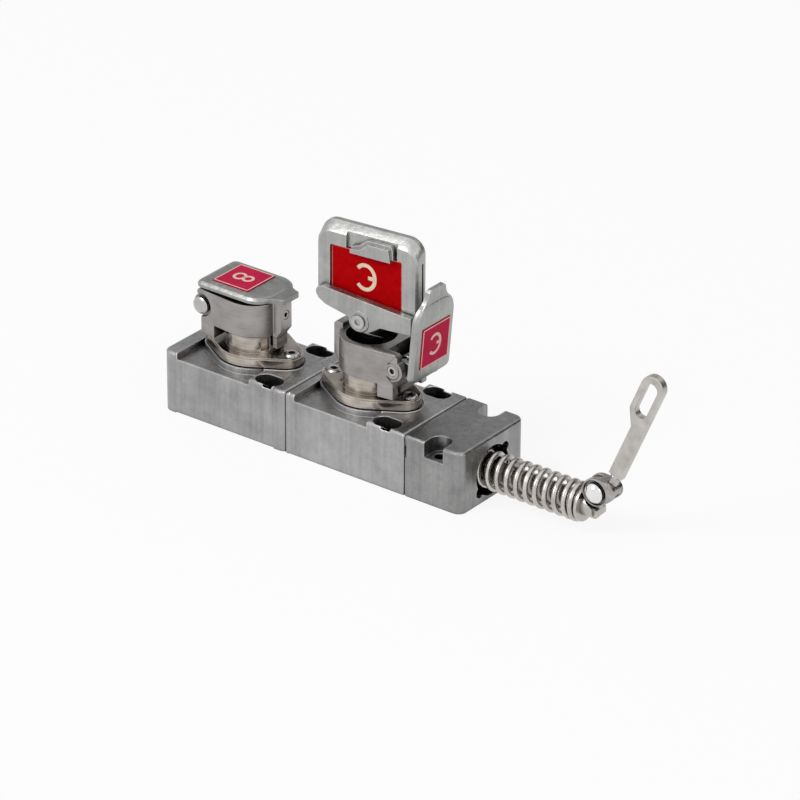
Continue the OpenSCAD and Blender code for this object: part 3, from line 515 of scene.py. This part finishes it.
def add_spring():
    """Round wire spring on the rod, with closed end turns, which moves with the rod as a whole."""
    low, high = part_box("rod_spring")
    wire = 2.2 * MM
    turns = 12
    steps = 48
    # The end turns nearly touch the next ones, and the wire is drawn a little thinner than the CAD's
    closed = wire + 0.06 * MM
    drawn = 0.98
    r = (high.z - low.z - wire) / 2
    middle_z = (high.z + low.z) / 2
    room = high.x - low.x - wire
    pitch = (room - 2 * closed) / (turns - 2)
    points = []
    for i in range(turns * steps + 1):
        t = i / steps
        if t < 1:
            x = closed * t
        elif t > turns - 1:
            x = room - closed * (turns - t)
        else:
            x = closed + pitch * (t - 1)
        a = 2 * math.pi * t
        # The CAD coil starts at the bottom of the ring and turns towards the back
        points.append(Vector((r * -math.cos(a), r * math.sin(a), x)))
    turn_to_x = Matrix(((0, 0, 1), (0, 1, 0), (1, 0, 0))).to_4x4()
    place = Matrix.Translation(Vector((low.x + wire / 2, 0, middle_z))) @ turn_to_x
    piece = tube("rod_spring_wire", points, wire / 2 * drawn, 16, False, 1.0, place)
    finish_piece(piece, "rod", "spring_steel")
    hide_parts("rod_spring")
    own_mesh(piece)


def add_rod_end():
    """The rod's end with a blunt chin under the pivot, in place of the thin lip of its CAD solid."""
    low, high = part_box("pivot_bolt")
    pivot = Vector(((low.x + high.x) / 2, 0, (low.z + high.z) / 2))
    shape = bmesh.new()
    shape.from_mesh(nodes["rod_end"].data)
    bmesh.ops.remove_doubles(shape, verts=shape.verts, dist=WELD)
    mesh = bpy.data.meshes.new("rod_end_chin")
    shape.to_mesh(mesh)
    shape.free()
    piece = bpy.data.objects.new("rod_end_chin", mesh)
    bpy.context.scene.collection.objects.link(piece)
    # A block takes the lip away. Its sides are in millimetres from the pivot
    near, far, top, bottom, half_width = 1.1, 9, -5.4, -14, 9
    block = bmesh.new()
    bmesh.ops.create_cube(block, size=1)
    for vert in block.verts:
        x = far if vert.co.x > 0 else near
        z = top if vert.co.z > 0 else bottom
        vert.co = pivot + MM * Vector((x, math.copysign(half_width, vert.co.y), z))
    cutter_mesh = bpy.data.meshes.new("lip_block")
    block.to_mesh(cutter_mesh)
    block.free()
    cutter = bpy.data.objects.new("lip_block", cutter_mesh)
    bpy.context.scene.collection.objects.link(cutter)
    cut = piece.modifiers.new("cut", "BOOLEAN")
    cut.operation = "DIFFERENCE"
    cut.solver = "EXACT"
    cut.object = cutter
    bpy.context.view_layer.update()
    graph = bpy.context.evaluated_depsgraph_get()
    piece.data = bpy.data.meshes.new_from_object(piece.evaluated_get(graph))
    piece.modifiers.clear()
    bpy.data.objects.remove(cutter)
    piece.data.materials.clear()
    finish_piece(piece, "rod", "linkage_steel")
    for polygon in piece.data.polygons:
        polygon.material_index = 0
    soften(piece, 0.35, False)
    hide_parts("rod_end")


def seen_rays(tree):
    """1 for what a camera sees, straight on, mirrored or through something clear, and 0 for light."""
    path = node(tree, "ShaderNodeLightPath")
    seen = path.outputs["Is Camera Ray"]
    for ray in ("Is Glossy Ray", "Is Transmission Ray"):
        seen = calc(tree, "MAXIMUM", seen, path.outputs[ray])
    return seen


# Width of the floor in metres, and how much of it is seen as white, the rest as paint with its shadow
FLOOR = 12
FLOOR_WHITE = 0.88


def add_stage():
    """Pale floor, which a camera sees as white but which keeps the shadow."""
    bpy.ops.mesh.primitive_plane_add(size=FLOOR, location=(0, 0, 0))
    floor = bpy.context.object
    floor.name = "floor"
    material = bpy.data.materials.new("floor")
    material.use_nodes = True
    tree = material.node_tree
    tree.nodes.remove(tree.nodes["Principled BSDF"])
    paint = node(tree, "ShaderNodeBsdfDiffuse", Color=(0.9, 0.9, 0.9, 1))
    glow = node(tree, "ShaderNodeEmission", Color=(1, 1, 1, 1), Strength=1.0)
    mix = node(tree, "ShaderNodeMixShader", Fac=calc(tree, "MULTIPLY", seen_rays(tree), FLOOR_WHITE))
    tree.links.new(paint.outputs[0], mix.inputs[1])
    tree.links.new(glow.outputs[0], mix.inputs[2])
    tree.links.new(mix.outputs[0], tree.nodes["Material Output"].inputs["Surface"])
    floor.data.materials.append(material)

    # Grey cards above and beside what the camera sees, that the upper faces and the end face mirror
    add_card("back_card", place=(-0.75, 1.0, 0.95), size=(2.6, 1.3), turn=(78, AZIMUTH), grey=0.54)
    add_card("end_card", place=(0.75, 0.85, 0.36), size=(1.3, 0.72), turn=(90, -38), grey=0.06)


def add_card(name, place, size, turn, grey):
    """Matt card that only reflections see, in metres. turn is its tilt and its heading in degrees."""
    bpy.ops.mesh.primitive_plane_add(size=1)
    card = bpy.context.object
    card.name = name
    card.scale = (*size, 1)
    card.rotation_euler = (math.radians(turn[0]), 0, math.radians(turn[1]))
    card.location = place
    card.visible_camera = False
    card.visible_shadow = False
    card.visible_diffuse = False
    material = bpy.data.materials.new(name)
    material.use_nodes = True
    shader = material.node_tree.nodes["Principled BSDF"]
    shader.inputs["Base Color"].default_value = (grey, grey, grey, 1)
    shader.inputs["Roughness"].default_value = 0.9
    card.data.materials.append(material)


# Strength of the white surround as light, and as what a camera or a mirror sees
SURROUND_LIGHT = 0.55
SURROUND_SEEN = 1.0


def add_world():
    """White studio all round."""
    world = bpy.data.worlds.new("studio")
    bpy.context.scene.world = world
    world.use_nodes = True
    tree = world.node_tree
    surround = tree.nodes["Background"]
    surround.inputs["Color"].default_value = (1, 1, 1, 1)
    strength = spread(tree, seen_rays(tree), SURROUND_LIGHT, SURROUND_SEEN, 0, 1)
    tree.links.new(strength, surround.inputs["Strength"])


# Point inside the part that the lamps look at
LAMP_TARGET = Vector((0.02, 0, 0.03))


def add_light(name, place, size, watts):
    """Round soft lamp that looks at the part."""
    data = bpy.data.lights.new(name, "AREA")
    data.shape = "DISK"
    data.size = size
    data.energy = watts
    light = bpy.data.objects.new(name, data)
    light.location = place
    light.rotation_euler = (LAMP_TARGET - Vector(place)).to_track_quat("-Z", "Y").to_euler()
    bpy.context.scene.collection.objects.link(light)


add_camera()
add_world()
add_stage()
add_light("key_light", place=(-0.5, -1.3, 1.5), size=0.9, watts=16)
add_light("fill_light", place=(1.3, -0.5, 0.9), size=0.7, watts=2)
dress_nodes()
add_prints()
add_spring()
add_rod_end()

bpy.context.scene.view_settings.view_transform = "Standard"
